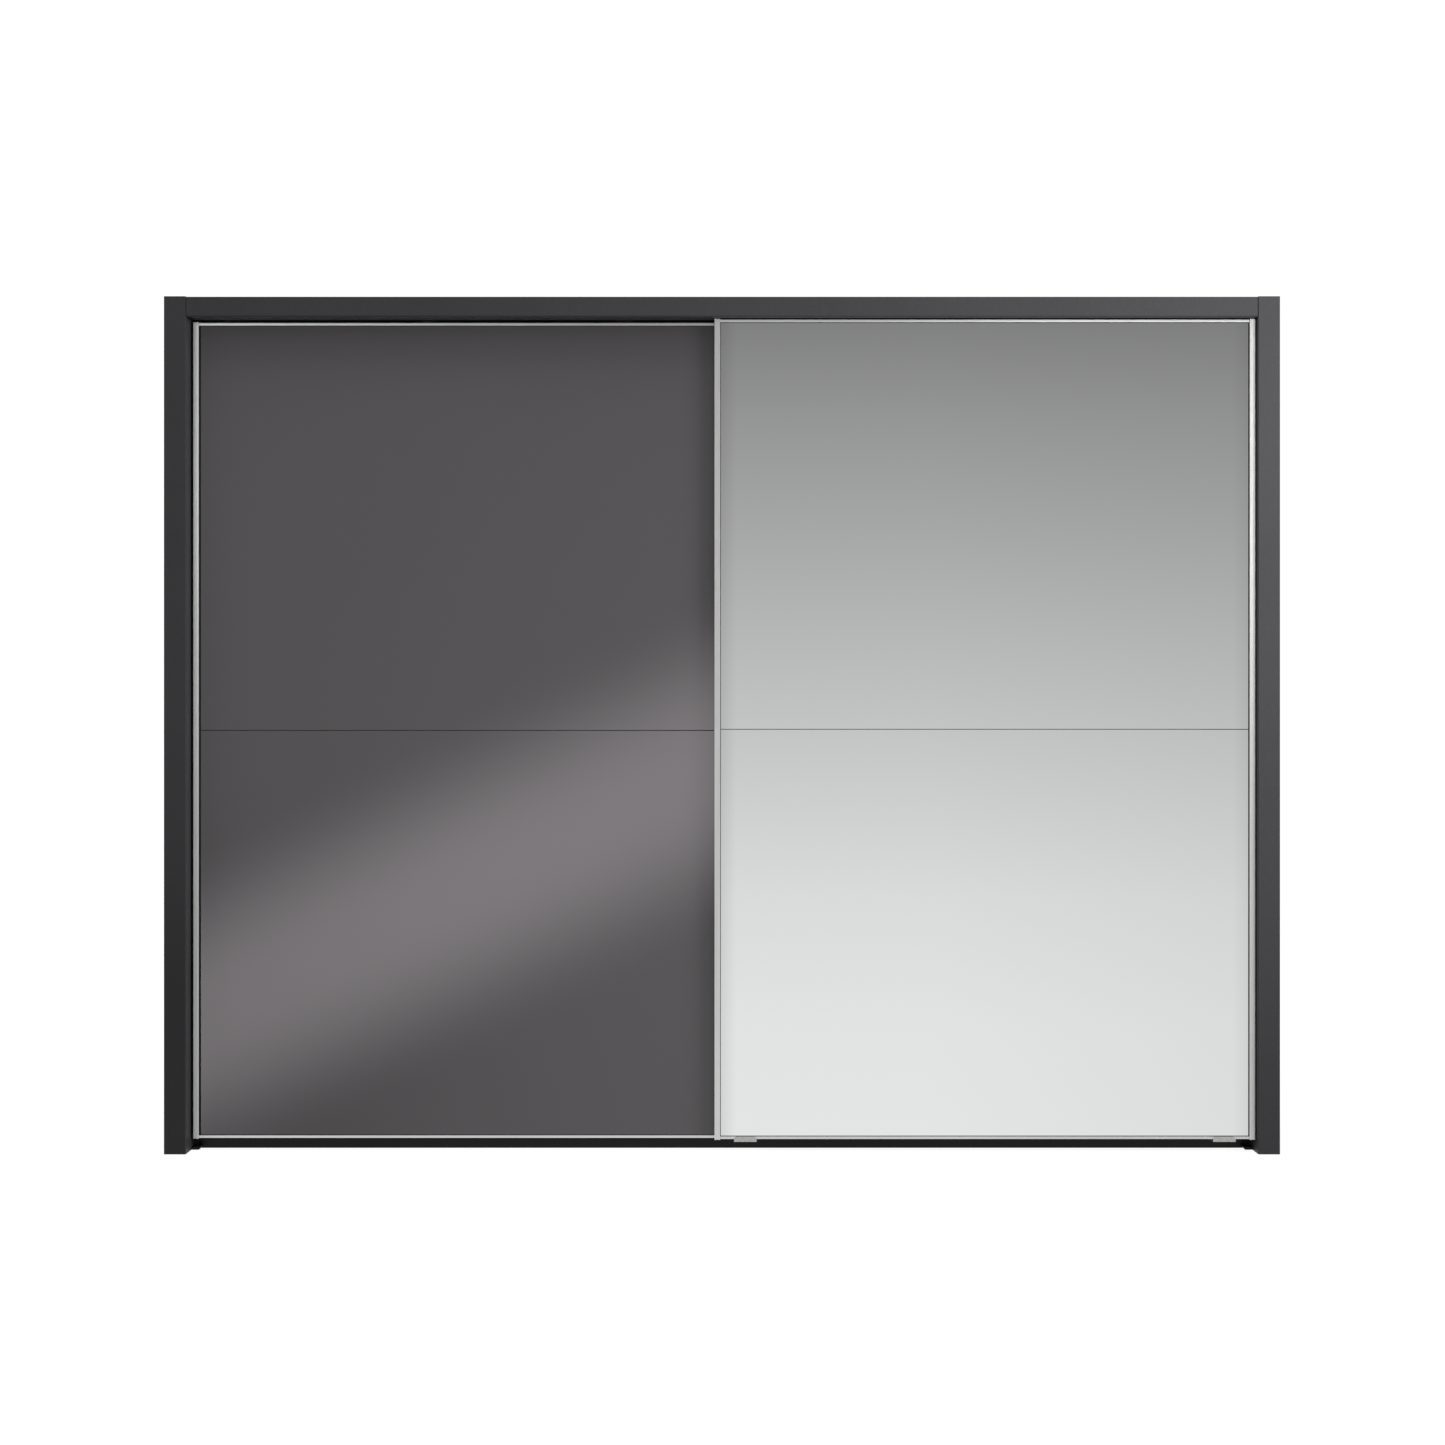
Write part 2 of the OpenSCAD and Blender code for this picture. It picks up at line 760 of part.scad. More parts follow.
// Two steel hangers: a slotted foot on the back of the door, a neck and the wheels' axle
module hangers(door_z) {
    axle_z = wheel_z - door_z;
    foot_top = door_h - hanger_drop;
    axle_half = wheel_out + wheel_room + axle_head_t;
    color(zinc) at_hangers() difference() {
        union() {
            block([-hanger_w / 2, board_back_y, foot_top - hanger_h],
                  [hanger_w / 2, hanger_back_y, foot_top]);
            block([-neck_w / 2, hanger_back_y - hanger_t, foot_top - neck_lap],
                  [neck_w / 2, hanger_back_y, axle_z + neck_past_axle]);
            rod([0, hanger_y - axle_half, axle_z], "y", 2 * axle_half, axle_r);
            for (y = [-axle_half, axle_half - axle_head_t])
                rod([0, hanger_y + y, axle_z], "y", axle_head_t, axle_head_r);
        }
        for (s = [-1, 1])
            translate([s * hanger_screw_x, board_back_y - 1, hanger_screw_z]) rotate([-90, 0, 0])
                linear_extrude(10) stadium(2 * screw_r + 1, slot_l);
    }
}

module hanger_screws() {
    at_hangers() for (s = [-1, 1])
        translate([s * hanger_screw_x, hanger_back_y, hanger_screw_z]) rotate([-90, 0, 0]) children();
}

// A pair of wheels on one axle, one on each side of the hanger plate
module wheel_pair(x, door_z) {
    groove = 0.8;
    color(nylon) translate([x, hanger_y, wheel_z - door_z]) for (turn = [-90, 90]) rotate([turn, 0, 0])
        translate([0, 0, wheel_in]) difference() {
            cylinder(h = wheel_out - wheel_in, r = wheel_r);
            translate([0, 0, -1]) cylinder(h = wheel_out, r = axle_r + bore_slack);
            translate([0, 0, wheel_out - wheel_in - groove]) difference() {
                cylinder(h = 2, r = wheel_r - 2);
                translate([0, 0, -1]) cylinder(h = 4, r = axle_r + 2);
            }
        }
}

module at_guides() {
    for (x = [guide_inset, door_w - guide_inset]) translate([x, 0, 0]) children();
}

// A guide's pin with a foot that keeps the roller on, from the plate at top_z down into the groove
module guide_pin(y, top_z, door_z) {
    foot_z = pin_foot_z - door_z;
    rod([0, y, foot_z], "z", top_z - foot_z, pin_r);
    rod([0, y, foot_z], "z", pin_foot_t, pin_r + pin_foot_t);
}

// The front door's guides grip the bottom profile and reach back below the rear door
module front_guides() {
    half = guide_w / 2;
    z0 = guide_plate_z - front_door[2];
    y0 = rail_profile_y - guide_flange_t;
    y1 = front_groove_y + guide_past_pin - front_door[1];
    flange_low = profile_end + 1;
    flange_top = profile_end + rail_profile_h;
    color(zinc) at_guides() {
        block([-half, y0, z0], [half, y1, z0 + guide_t]);
        block([-half, y0, z0], [half, board_back_y + rail_profile_wall, profile_end]);
        translate([0, rail_profile_y, 0]) rotate([90, 0, 0]) linear_extrude(guide_flange_t)
            polygon([[-half, z0], [half, z0], [half, flange_low], [guide_flange_w / 2, flange_top],
                     [-guide_flange_w / 2, flange_top], [-half, flange_low]]);
        guide_pin(front_groove_y - front_door[1], z0 + eps, front_door[2]);
    }
}

// The rear door's guides are screwed to its back and step over the rear half of the rail
module rear_guides() {
    half = guide_w / 2;
    y0 = board_back_y + rail_profile_wall;
    y1 = rear_groove_y + guide_past_pin - rear_door[1];
    z0 = rear_arm_z - rear_door[2];
    top = z0 + rear_guide_h;
    color(zinc) at_guides() difference() {
        union() {
            block([-half, y0, z0], [half, hanger_back_y, top]);
            block([-half, board_back_y, rail_profile_h + profile_end], [half, hanger_back_y, top]);
            block([-half, y0, z0], [half, y1, z0 + guide_t]);
            guide_pin(rear_groove_y - rear_door[1], z0 + eps, rear_door[2]);
        }
        guide_screw_pair() screw_hole(door_screw_l);
    }
}

module guide_screw_pair() {
    for (s = [-1, 1])
        translate([s * hanger_screw_x, hanger_back_y, rear_arm_z - rear_door[2] + rear_guide_screw_h])
            rotate([-90, 0, 0]) children();
}

module back_guide_screws() {
    at_guides() guide_screw_pair() children();
}

module door_screws(guide_on_back) {
    color(zinc) {
        hanger_screws() screw(door_screw_l - screw_end_gap);
        if (guide_on_back) back_guide_screws() screw(door_screw_l - screw_end_gap);
    }
}

module roller(x, groove_y, door) {
    color(nylon) translate([x, groove_y - door[1], roller_z - door[2]]) difference() {
        cylinder(h = roller_h, r = roller_r);
        translate([0, 0, -1]) cylinder(h = roller_h + 2, r = pin_r + bore_slack);
    }
}

// ---- one line for each named piece ----

frame_side_left();
frame_side_right();
frame_top();
frame_battens();
carcass_side_left();
carcass_side_right();
centre_partition();
top_panel_left();
top_panel_right();
bottom_panel_left();
bottom_panel_right();
plinth_boards();
back_panels();
back_joint_strips();
shelf_left();
shelf_right();
shelf_pins();
clothes_rails();
clothes_rail_sockets();
running_rail();
rail_brackets();
rail_end_stops();
guide_rail();
floor_glides();
cam_fittings();
wall_brackets();
fixing_screws();
at_left_door() stile();  // left_door_stile_outer
at_left_door() far_edge() stile();  // left_door_stile_inner
at_left_door() top_profile();  // left_door_top_profile
at_left_door() bottom_profile();  // left_door_bottom_profile
at_left_door() mid_profile();  // left_door_mid_profile
at_left_door() pane(true, grey_glass);  // left_door_upper_pane
at_left_door() pane(false, grey_glass);  // left_door_lower_pane
at_left_door() backing_boards(true);  // left_door_backing_boards
at_left_door() gaskets(left_gasket_w);  // left_door_gaskets
at_left_door() hangers(rear_door[2]);  // left_door_hangers
at_left_door() rear_guides();  // left_door_guides
at_left_door() door_screws(true);  // left_door_screws
at_left_door() wheel_pair(hanger_inset, rear_door[2]);  // left_door_wheel_1
at_left_door() wheel_pair(door_w - hanger_inset, rear_door[2]);  // left_door_wheel_2
at_left_door() roller(guide_inset, rear_groove_y, rear_door);  // left_door_roller_1
at_left_door() roller(door_w - guide_inset, rear_groove_y, rear_door);  // left_door_roller_2
at_right_door() far_edge() stile();  // right_door_stile_outer
at_right_door() stile();  // right_door_stile_inner
at_right_door() top_profile();  // right_door_top_profile
at_right_door() bottom_profile();  // right_door_bottom_profile
at_right_door() mid_profile();  // right_door_mid_profile
at_right_door() pane(true, mirror_grey);  // right_door_upper_pane
at_right_door() pane(false, mirror_grey);  // right_door_lower_pane
at_right_door() backing_boards(false);  // right_door_backing_boards
at_right_door() gaskets(right_gasket_w);  // right_door_gaskets
at_right_door() hangers(front_door[2]);  // right_door_hangers
at_right_door() front_guides();  // right_door_guides
at_right_door() door_screws(false);  // right_door_screws
at_right_door() wheel_pair(hanger_inset, front_door[2]);  // right_door_wheel_1
at_right_door() wheel_pair(door_w - hanger_inset, front_door[2]);  // right_door_wheel_2
at_right_door() roller(guide_inset, front_groove_y, front_door);  // right_door_roller_1
at_right_door() roller(door_w - guide_inset, front_groove_y, front_door);  // right_door_roller_2
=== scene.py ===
"""Looks of the sliding door wardrobe: materials, rounded edges, light and camera round the CAD frame.

Metres. +X is to the right, the doors face -Y, +Z is up, and the floor is z = 0.
"""
import math

import bmesh
import bpy
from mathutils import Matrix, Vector


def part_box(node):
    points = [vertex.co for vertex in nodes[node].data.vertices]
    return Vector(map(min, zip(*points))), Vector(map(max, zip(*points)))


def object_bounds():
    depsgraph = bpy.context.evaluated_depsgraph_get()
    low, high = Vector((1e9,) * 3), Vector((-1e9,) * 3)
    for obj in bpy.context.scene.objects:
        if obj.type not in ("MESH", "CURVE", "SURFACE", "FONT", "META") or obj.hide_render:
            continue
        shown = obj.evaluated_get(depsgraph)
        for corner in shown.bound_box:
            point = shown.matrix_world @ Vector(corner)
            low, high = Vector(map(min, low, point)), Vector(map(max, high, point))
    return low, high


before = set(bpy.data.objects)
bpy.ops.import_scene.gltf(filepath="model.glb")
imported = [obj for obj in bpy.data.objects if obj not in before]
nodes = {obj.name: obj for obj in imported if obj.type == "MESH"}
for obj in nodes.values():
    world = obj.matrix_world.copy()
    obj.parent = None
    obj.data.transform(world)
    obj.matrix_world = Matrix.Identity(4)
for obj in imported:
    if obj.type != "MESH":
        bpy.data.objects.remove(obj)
cad_low, cad_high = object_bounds()
scene = bpy.context.scene

# Where the camera stands: straight in front, at a seated eye's height
CAMERA_X = 0.0013
CAMERA_Y = -5.775
CAMERA_Z = 1.0871
LENS_MM = 53.8
SENSOR_MM = 36

# The studio round the object. Heights are those of a direction, from -1 (down) to 1 (up).
FILL_SPAN = 0.35                # the fill light grows from this far below the horizon to as far above it
FILL_BELOW = 0.16               # its strength at the lower end
FILL_ABOVE = 0.62               # and at the upper end
FILL_COLOUR = (0.98, 0.985, 1.0, 1)
MIRRORED_SPAN = 0.25            # reflections darken from this far below the horizon to as far above it
MIRRORED_WALL = (               # from the lower end (0) to the upper end (1): place, brightness
    (0.0, 1.02),
    (0.22, 0.98),
    (0.34, 0.90),
    (0.5, 0.70),
    (0.67, 0.50),
    (0.78, 0.385),
    (0.88, 0.26),
    (1.0, 0.20),
)
BACKGROUND_STRENGTH = 1.05      # just past white

# The floor glows just under white, and fades out between two distances from the middle
FLOOR_R = 12.0
FLOOR_DROP = 0.0005             # below z = 0, so that no foot shares its plane
FLOOR_GLOW = 0.92
FLOOR_FADE = (3.0, 9.0)

# The streak on the grey glass: its middle and its half length and width, on the plane of the lower pane
STREAK_X = -0.586
STREAK_BELOW_CAMERA = 0.386
STREAK_SLOPE = math.radians(26.3)
STREAK_HALF_L = 1.25
STREAK_HALF_W = 0.436
STREAK_STRENGTH = 4.6
STREAK_COLOUR = (1.0, 0.93, 0.98, 1)
STREAK_BEHIND_CAMERA = 0.7      # how far behind the camera its card hangs

# The cards that shade the feet of the side boards
FLAG_HALF_W = 0.50
FLAG_AHEAD = 0.50               # in front of the frame
FLAG_FOOT_Z = 0.01
LEFT_FLAG_TOP_Z = 0.80
RIGHT_FLAG_TOP_Z = 0.45

# Finishes, as linear colours
GRAPHITE = (0.052, 0.052, 0.055)
CARCASS_GRAPHITE = (0.050, 0.050, 0.054)
GREY_LACQUER = (0.150, 0.142, 0.147)
MIRROR_SILVER = (0.775, 0.78, 0.78)
CUT_EDGE = (0.012, 0.020, 0.018)
MIRROR_CUT_EDGE = (0.16, 0.19, 0.18)
ALUMINIUM = (0.66, 0.66, 0.655)
# near-black colour given to the running rail
NEAR_BLACK_RAIL = (0.045, 0.045, 0.047)
BRIGHT_ZINC = (0.46, 0.46, 0.45)
BLACK_ZINC = (0.040, 0.040, 0.042)
BLACK_PLASTIC = (0.008, 0.008, 0.009)
STRIP_PLASTIC = (0.020, 0.020, 0.021)
RUBBER = (0.016, 0.016, 0.016)
NYLON = (0.72, 0.70, 0.65)

# Pieces that a light is kept to
FRAME_BOARDS = ("frame_side_left", "frame_side_right", "frame_top")
ALUMINIUM_PARTS = ("stile_outer", "stile_inner", "_profile")

# Edge rounding of the CAD pieces
WELD_DISTANCE = 1e-5
BEVEL_ABOVE = math.radians(40)  # only edges sharper than this are rounded
BEVEL_SEGMENTS = 2
FRAME_EDGE = 0.0012
CARCASS_EDGE = 0.0007
RAW_BOARD_EDGE = 0.0005
STOUT_EDGE = 0.0004             # stiles, panes, brackets and mouldings
FINE_EDGE = 0.0003              # thin profiles, rails, wheels and fittings
SCREW_EDGE = 0.0002

NOISE_SPAN = (0.3, 0.7)         # nearly all of a noise's values lie in this


# ---- node helpers ----

class Nodes:
    """Short calls that add nodes to a node tree."""

    def __init__(self, tree):
        self.tree = tree

    def node(self, kind, **values):
        made = self.tree.nodes.new(kind)
        for key, value in values.items():
            setattr(made, key, value)
        return made

    def link(self, output, socket):
        self.tree.links.new(output, socket)

    def place(self, stretch=(1, 1, 1)):
        """Object coordinates, stretched along the axes."""
        mapping = self.node("ShaderNodeMapping")
        mapping.inputs["Scale"].default_value = stretch
        self.link(self.node("ShaderNodeTexCoord").outputs["Object"], mapping.inputs["Vector"])
        return mapping.outputs["Vector"]

    def noise(self, scale, detail=2.0, stretch=(1, 1, 1), roughness=0.5):
        """Cloudy noise, with so many features to the metre."""
        made = self.node("ShaderNodeTexNoise")
        made.inputs["Scale"].default_value = scale
        made.inputs["Detail"].default_value = detail
        made.inputs["Roughness"].default_value = roughness
        self.link(self.place(stretch), made.inputs["Vector"])
        return made.outputs["Fac"]

    def cells(self, scale, stretch=(1, 1, 1)):
        """Distance from the middle of random cells, so many to the metre."""
        made = self.node("ShaderNodeTexVoronoi")
        made.inputs["Scale"].default_value = scale
        self.link(self.place(stretch), made.inputs["Vector"])
        return made.outputs["Distance"]

    def waves(self, direction, scale):
        """Even waves along an axis."""
        made = self.node("ShaderNodeTexWave", bands_direction=direction)
        made.inputs["Scale"].default_value = scale
        self.link(self.place(), made.inputs["Vector"])
        return made.outputs["Fac"]

    def spread(self, value, low, high, out_low=0, out_high=1, shape="LINEAR"):
        """Maps low..high of a value to out_low..out_high, clamped."""
        made = self.node("ShaderNodeMapRange", interpolation_type=shape)
        for i, number in enumerate((low, high, out_low, out_high)):
            made.inputs[i + 1].default_value = number
        self.link(value, made.inputs[0])
        return made.outputs[0]

    def maths(self, operation, a, b=0.0):
        made = self.node("ShaderNodeMath", operation=operation)
        for socket, value in zip(made.inputs, (a, b)):
            if isinstance(value, (int, float)):
                socket.default_value = value
            else:
                self.link(value, socket)
        return made.outputs[0]

    def mix(self, factor, a, b):
        """Mixes two colours, each a tuple or a socket."""
        made = self.node("ShaderNodeMix", data_type="RGBA")
        self.link(factor, made.inputs[0])
        for socket, value in ((made.inputs[6], a), (made.inputs[7], b)):
            if isinstance(value, tuple):
                socket.default_value = (*value, 1)
            else:
                self.link(value, socket)
        return made.outputs[2]

    def mottle(self, value, colour, low, high):
        """A colour that follows a noise from low to high times its brightness."""
        return self.mix(self.spread(value, *NOISE_SPAN), shade(colour, low), shade(colour, high))

    def bump(self, height, strength, distance, under=None):
        """A normal that follows a height, on top of another normal if one is given."""
        made = self.node("ShaderNodeBump")
        made.inputs["Strength"].default_value = strength
        made.inputs["Distance"].default_value = distance
        self.link(height, made.inputs["Height"])
        if under is not None:
            self.link(under, made.inputs["Normal"])
        return made.outputs["Normal"]

    def along(self, coordinate, axis):
        """One axis of a coordinate set, such as Normal or Generated."""
        split = self.node("ShaderNodeSeparateXYZ")
        self.link(self.node("ShaderNodeTexCoord").outputs[coordinate], split.inputs[0])
        return split.outputs[axis]

    def faces_rear(self, least):
        """1 where the surface faces +Y by more than the least, which is 0 to 1."""
        return self.maths("GREATER_THAN", self.along("Normal", "Y"), least)

    def mix_shaders(self, factor, first, second):
        made = self.node("ShaderNodeMixShader")
        for socket, value in zip(made.inputs, (factor, first, second)):
            self.link(value, socket)
        return made.outputs[0]


class Material(Nodes):
    """A new material with its Principled shader."""

    def __init__(self, name):
        self.material = bpy.data.materials.new(name)
        self.material.use_nodes = True
        super().__init__(self.material.node_tree)
        self.shader = self.tree.nodes["Principled BSDF"]

    def set(self, **sockets):
        """Sets the shader's sockets; underscores stand for the spaces in their names."""
        for key, value in sockets.items():
            self.shader.inputs[key.replace("_", " ")].default_value = value

    def colour(self, value):
        self.link(value, self.shader.inputs["Base Color"])

    def rough(self, value):
        self.link(value, self.shader.inputs["Roughness"])

    def relief(self, value):
        self.link(value, self.shader.inputs["Normal"])

    def surface(self, value):
        """Puts another shader in the Principled shader's place."""
        self.link(value, self.tree.nodes["Material Output"].inputs["Surface"])

    def is_cut_edge(self):
        """1 on a pane's cut edges, which don't face along Y."""
        return self.maths("LESS_THAN", self.maths("ABSOLUTE", self.along("Normal", "Y")), 0.6)


def shade(colour, factor):
    return tuple(c * factor for c in colour)


# ---- materials ----

def melamine(name, colour, raw_rear=False):
    """Matt melamine board: a fine pressed grain, faint clouds of tone, and a raw chipboard rear edge."""
    look = Material(name)
    clouds = look.noise(3.0, 3)
    grain = look.noise(900)
    pores = look.noise(260, 4, stretch=(1, 1, 0.25))
    tone = look.mottle(clouds, colour, 0.95, 1.05)
    tone = look.mix(look.spread(pores, 0.55, 0.75, 0, 0.35), tone, shade(colour, 1.35))
    if raw_rear:
        flakes = look.noise(420, 3)
        chips = look.mix(look.spread(flakes, 0.35, 0.65), (0.20, 0.13, 0.075), (0.42, 0.30, 0.19))
        tone = look.mix(look.faces_rear(0.7), tone, chips)
    look.colour(tone)
    look.rough(look.spread(pores, *NOISE_SPAN, 0.44, 0.56))
    look.relief(look.bump(pores, 0.25, 0.0004, look.bump(grain, 0.25, 0.0003)))
    look.set(Specular_IOR_Level=0.12)
    return look.material


def lacquered_glass(name):
    """Gloss glass, lacquered dark grey behind: a clear face and a faintly green cut edge."""
    look = Material(name)
    haze = look.noise(1.4, 3)
    film = look.noise(22, 5, roughness=0.6)
    face = look.mottle(haze, GREY_LACQUER, 0.985, 1.015)
    look.colour(look.mix(look.is_cut_edge(), face, CUT_EDGE))
    look.rough(look.spread(film, 0.35, 0.7, 0.035, 0.055))
    look.relief(look.bump(look.noise(2.2, 1), 0.02, 0.002))
    look.set(IOR=1.5, Specular_IOR_Level=0.30)
    return look.material


def mirror_glass(name):
    """Silvered mirror with a grey-green cut edge; its silver is painted darker to the right and close to
    its sides, as painted shade.
    """
    look = Material(name)
    across = look.along("Generated", "X")
    off_middle = look.maths("ABSOLUTE", look.maths("SUBTRACT", across, 0.5))
    # painted shade: the silver is painted darker towards the right
    silver_with_painted_shade = look.mix(look.spread(across, 0.4, 1.0), MIRROR_SILVER, shade(MIRROR_SILVER, 0.93))
    # painted shade: the silver is painted darker close to both sides
    silver_with_painted_shade = look.mix(look.spread(off_middle, 0.468, 0.5), silver_with_painted_shade, shade(MIRROR_SILVER, 0.82))
    film = look.noise(18, 5, roughness=0.6)
    look.colour(look.mix(look.is_cut_edge(), silver_with_painted_shade, MIRROR_CUT_EDGE))
    look.rough(look.spread(film, 0.35, 0.7, 0.006, 0.018))
    look.relief(look.bump(look.noise(1.6, 1), 0.012, 0.002))
    look.set(Metallic=1.0)
    return look.material


def anodised(name, along, colour=ALUMINIUM):
    """Anodised aluminium, with drawing lines along the profile: "X" or "Z"."""
    look = Material(name)
    lines = (0.02, 1, 1) if along == "X" else (1, 1, 0.02)
    fine = look.noise(1500, 3, stretch=lines)
    broad = look.noise(130, stretch=lines)
    satin = look.noise(2400, 1)
    look.colour(look.mottle(broad, colour, 0.95, 1.04))
    look.rough(look.spread(fine, *NOISE_SPAN, 0.33, 0.44))
    look.relief(look.bump(fine, 0.18, 0.0002, look.bump(satin, 0.08, 0.0001)))
    look.set(Metallic=1.0)
    return look.material


def plastic(name, colour, rough, grain=700, strength=0.2, soft=0.0):
    """Moulded plastic or rubber with a fine spark-eroded grain."""
    look = Material(name)
    sparks = look.noise(grain, 3)
    cloud = look.noise(12)
    look.colour(look.mottle(cloud, colour, 0.9, 1.12))
    look.rough(look.spread(sparks, *NOISE_SPAN, rough - 0.06, rough + 0.08))
    look.relief(look.bump(sparks, strength, 0.0003))
    look.set(Specular_IOR_Level=0.2, Subsurface_Weight=soft, Subsurface_Scale=0.002)
    return look.material


def zinc_plated(name, colour):
    """Zinc plated steel, mottled in its own colour."""
    look = Material(name)
    spangle = look.cells(260)
    blotch = look.noise(60, 4)
    look.colour(look.mix(look.spread(spangle, 0.1, 0.9), shade(colour, 0.88), shade(colour, 1.12)))
    look.rough(look.spread(blotch, *NOISE_SPAN, 0.30, 0.46))
    look.relief(look.bump(blotch, 0.12, 0.0004))
    look.set(Metallic=1.0)
    return look.material


def chromed(name):
    """Bright chrome with a light haze."""
    look = Material(name)
    haze = look.noise(40, 4)
    look.colour(look.mix(look.spread(haze, *NOISE_SPAN), (0.70, 0.70, 0.71), (0.76, 0.76, 0.77)))
    look.rough(look.spread(haze, *NOISE_SPAN, 0.10, 0.17))
    look.set(Metallic=1.0)
    return look.material


def chipboard(name):
    """Raw board: pressed wood chips of several browns."""
    look = Material(name)
    chips = look.cells(330, stretch=(1, 1, 0.5))
    fine = look.noise(900, 3)
    tone = look.mix(look.spread(chips, 0.1, 0.8), (0.24, 0.16, 0.09), (0.44, 0.32, 0.20))
    look.colour(look.mix(look.spread(fine, 0.4, 0.7, 0, 0.5), tone, (0.15, 0.095, 0.05)))
    look.relief(look.bump(fine, 0.5, 0.0005))
    look.set(Roughness=0.85)
    return look.material


def back_sheet(name):
    """Hardboard: printed graphite towards the inside, and raw brown with a screen pattern behind."""
    look = Material(name)
    fibres = look.noise(500, 4)
    screen = look.maths("MULTIPLY", look.waves("X", 130), look.waves("Z", 130))
    raw = look.mix(look.spread(fibres, *NOISE_SPAN), (0.17, 0.105, 0.060), (0.25, 0.165, 0.10))
    raw = look.mix(look.spread(look.noise(5, 3), *NOISE_SPAN, 0, 0.5), raw, (0.16, 0.10, 0.06))
    is_rear = look.faces_rear(0.5)
    look.colour(look.mix(is_rear, look.mottle(fibres, CARCASS_GRAPHITE, 0.95, 1.1), raw))
    pressed = look.maths("MULTIPLY", screen, is_rear)
    look.relief(look.bump(pressed, 0.35, 0.0006, look.bump(fibres, 0.2, 0.0003)))
    look.set(Roughness=0.62, Specular_IOR_Level=0.3)
    return look.material


# ---- dressing the CAD nodes ----

def dress(node, material, edge=None):
    """Gives a CAD node its material, and rounds its edges by modifiers that leave its own mesh alone."""
    piece = nodes[node]
    piece.data.materials.clear()
    piece.data.materials.append(material)
    if edge is None:
        return
    weld = piece.modifiers.new("weld", "WELD")
    weld.merge_threshold = WELD_DISTANCE
    rounding = piece.modifiers.new("rounding", "BEVEL")
    rounding.width = edge
    rounding.segments = BEVEL_SEGMENTS
    rounding.limit_method = "ANGLE"
    rounding.angle_limit = BEVEL_ABOVE
    piece.modifiers.new("flat faces", "WEIGHTED_NORMAL")


def dress_body(carcass_board, zinc):
    """The surrounding frame, the carcass and what is fixed to them."""
    board = melamine("graphite_melamine", GRAPHITE)
    black = plastic("black_plastic", BLACK_PLASTIC, 0.42)
    chrome = chromed("chrome")
    for name in FRAME_BOARDS:
        dress(name, board, FRAME_EDGE)
    for name in ("carcass_side_left", "carcass_side_right", "centre_partition", "top_panel_left",
                 "top_panel_right", "bottom_panel_left", "bottom_panel_right", "plinth_boards",
                 "shelf_left", "shelf_right"):
        dress(name, carcass_board, CARCASS_EDGE)
    dress("frame_battens", chipboard("chipboard"), RAW_BOARD_EDGE)
    dress("back_panels", back_sheet("back_sheet"))
    for name in ("back_joint_strips", "guide_rail", "floor_glides", "rail_end_stops"):
        dress(name, black, STOUT_EDGE)
    # the running rail is coloured near black
    dress("running_rail", anodised("near_black_rail", "X", NEAR_BLACK_RAIL), FINE_EDGE)
    for name in ("clothes_rails", "clothes_rail_sockets"):
        dress(name, chrome, FINE_EDGE)
    for name in ("shelf_pins", "rail_brackets", "cam_fittings", "wall_brackets", "fixing_screws"):
        dress(name, zinc, FINE_EDGE)


def dress_doors(carcass_board, zinc):
    """Both doors alike, but for their glass."""
    upright = anodised("anodised_upright", "Z")
    level = anodised("anodised_level", "X")
    strip = plastic("dark_strip", STRIP_PLASTIC, 0.55)
    rubber = plastic("gasket_rubber", RUBBER, 0.68, grain=500, strength=0.35)
    nylon = plastic("nylon", NYLON, 0.38, grain=400, strength=0.08, soft=0.15)
    black_zinc = zinc_plated("black_zinc", BLACK_ZINC)
    panes = {"left": lacquered_glass("grey_glass"), "right": mirror_glass("mirror_glass")}
    for side, glass in panes.items():
        door = side + "_door_"
        for part in ("stile_outer", "stile_inner"):
            dress(door + part, upright, STOUT_EDGE)
        for part in ("top_profile", "bottom_profile"):
            dress(door + part, level, FINE_EDGE)
        for part in ("upper_pane", "lower_pane"):
            dress(door + part, glass, STOUT_EDGE)
        for part in ("wheel_1", "wheel_2", "roller_1", "roller_2"):
            dress(door + part, nylon, FINE_EDGE)
        dress(door + "mid_profile", strip)
        dress(door + "gaskets", rubber)
        dress(door + "backing_boards", carcass_board, RAW_BOARD_EDGE)
        dress(door + "hangers", black_zinc, STOUT_EDGE)
        dress(door + "guides", zinc, STOUT_EDGE)
        dress(door + "screws", zinc, SCREW_EDGE)


# ---- studio ----

def add_camera():
    lens = bpy.data.cameras.new("camera")
    lens.lens = LENS_MM
    lens.sensor_width = SENSOR_MM
    camera = bpy.data.objects.new("camera", lens)
    camera.location = (CAMERA_X, CAMERA_Y, CAMERA_Z)
    camera.rotation_euler = (math.radians(90), 0, 0)
    scene.collection.objects.link(camera)
    scene.camera = camera


